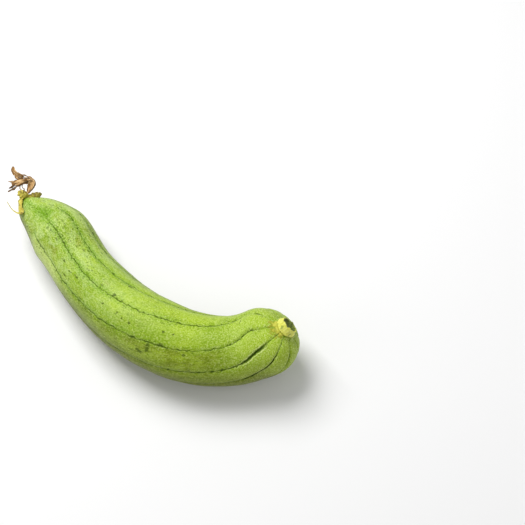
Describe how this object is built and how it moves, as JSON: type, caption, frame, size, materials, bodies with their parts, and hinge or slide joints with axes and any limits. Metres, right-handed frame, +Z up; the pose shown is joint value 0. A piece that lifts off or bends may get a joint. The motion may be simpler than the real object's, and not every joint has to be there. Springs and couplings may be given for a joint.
{
  "type": "sponge gourd",
  "caption": "Long bent green sponge gourd lying on its side, with shallow furrows, a cut hollow stem stub, a calyx and its withered flower.",
  "frame": {"origin": "on the table, under the middle of the whole object's bounding box as the gourd lies on its side", "axes": "+Z up; +X along the length, from the blossom end with the withered flower to the stem end; +Y towards the hollow side of the bend"},
  "size_m": [0.2354, 0.182, 0.0588],
  "materials": {
    "gourd": "smooth, slightly waxy light green skin with ten darker lengthwise lines and fine elongated flecks",
    "stem_stub": "matt yellow-green, fibrous, dark in the hollow of the cut",
    "calyx": "dry yellow to olive, finely ribbed, brown at the edges and tips",
    "withered_corolla": "dry crumpled petals, pale tan with dark brown edges"
  },
  "bodies": {
    "root": {"gourd": "gourd", "stem_stub": "stem_stub", "calyx": "calyx", "withered_corolla": "withered_corolla"}
  },
  "joints": []
}
